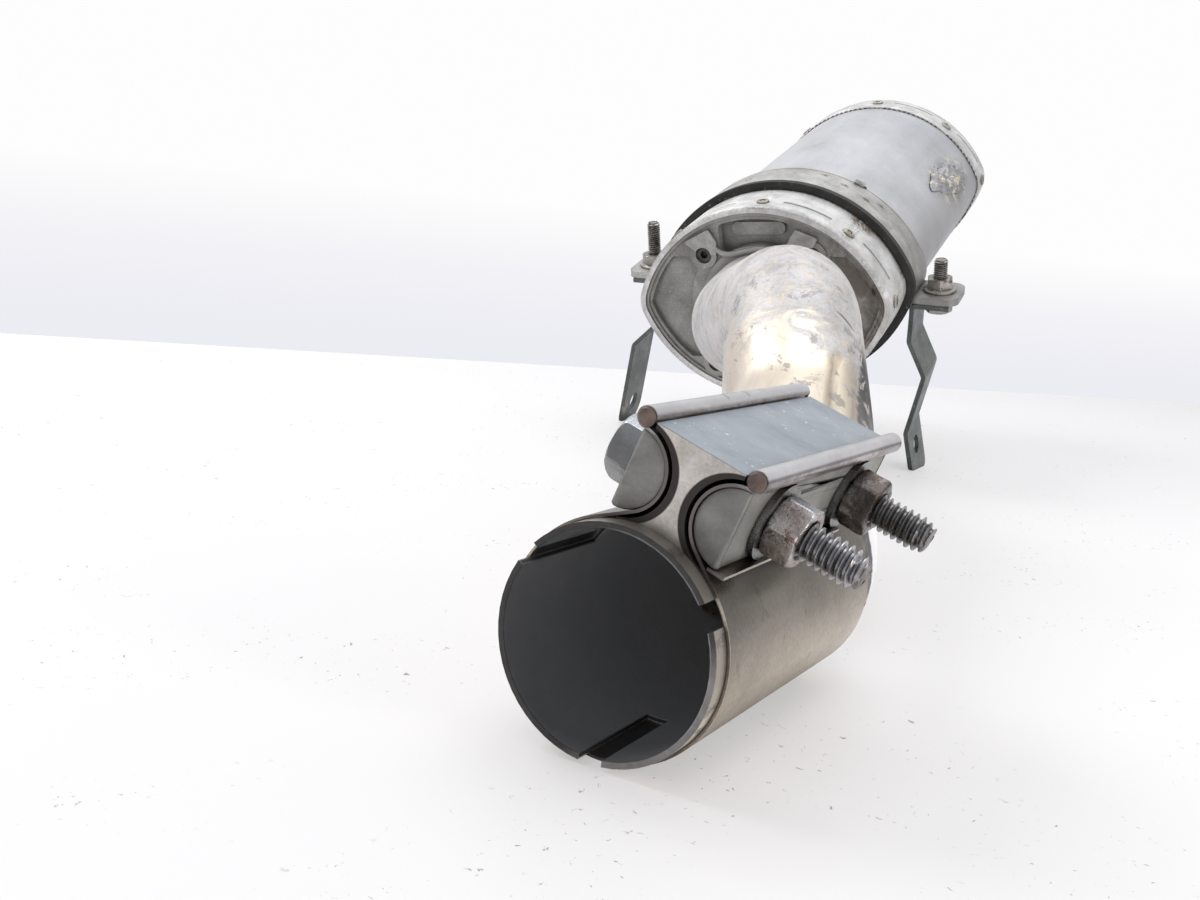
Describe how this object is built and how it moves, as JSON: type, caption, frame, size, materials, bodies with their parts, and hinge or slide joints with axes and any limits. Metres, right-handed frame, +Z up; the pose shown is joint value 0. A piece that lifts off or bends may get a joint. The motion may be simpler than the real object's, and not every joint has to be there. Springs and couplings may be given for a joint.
{
  "type": "motorcycle exhaust muffler",
  "caption": "Oval motorcycle muffler with a bent link pipe, a bolted pipe clamp at its slotted mouth and a banded mounting with hanging strips",
  "frame": {"origin": "middle of the link pipe's mouth", "axes": "-Y out of the mouth along the pipe's first straight, +Z up as it rests, +X to the right seen from in front of the mouth"},
  "size_m": [0.3143, 0.686, 0.2248],
  "materials": {
    "pipe_steel": "weathered stainless tube with heat tint",
    "strap_steel": "worn stainless sheet",
    "block_steel": "dull grey-brown steel",
    "bar_steel": "dull grey steel",
    "rod_steel": "dark grey steel with rusty ends",
    "bolt_steel": "grimy plated steel",
    "nut_steel": "oily rusty steel",
    "cap_metal": "dirty cast metal",
    "screw_steel": "blackened steel",
    "inner_steel": "plain steel sheet",
    "sleeve_metal": "matt bluish grey, scuffed",
    "ring_metal": "weathered light metal sheet",
    "rivet_metal": "weathered rivets",
    "packing_fibre": "loose mineral fibre",
    "liner_rubber": "black rubber",
    "band_metal": "weathered steel band with rust specks",
    "ear_steel": "plated fasteners",
    "strip_metal": "dark greenish grey paint"
  },
  "bodies": {
    "root": {"inlet_pipe": "pipe_steel", "clamp_strap": "strap_steel", "clamp_block": "block_steel", "left_d_bar": "bar_steel", "right_d_bar": "bar_steel", "left_rod": "rod_steel", "right_rod": "rod_steel", "clamp_bolts": "bolt_steel", "clamp_washers": "bolt_steel", "clamp_nuts": "nut_steel", "clamp_clip": "strap_steel", "front_cap": "cap_metal", "cap_screws": "screw_steel", "packing_plate": "inner_steel", "sleeve": "sleeve_metal", "front_ring": "ring_metal", "rear_ring": "ring_metal", "front_rivets": "rivet_metal", "rear_rivets": "rivet_metal", "rear_cap": "cap_metal", "outlet_tube": "pipe_steel", "core": "inner_steel", "packing": "packing_fibre", "rubber_liner": "liner_rubber", "upper_band": "band_metal", "lower_band": "band_metal", "ear_nuts": "ear_steel", "right_ear_bolt": "ear_steel", "left_ear_bolt": "ear_steel", "right_strip": "strip_metal", "left_strip": "strip_metal"}
  },
  "joints": []
}
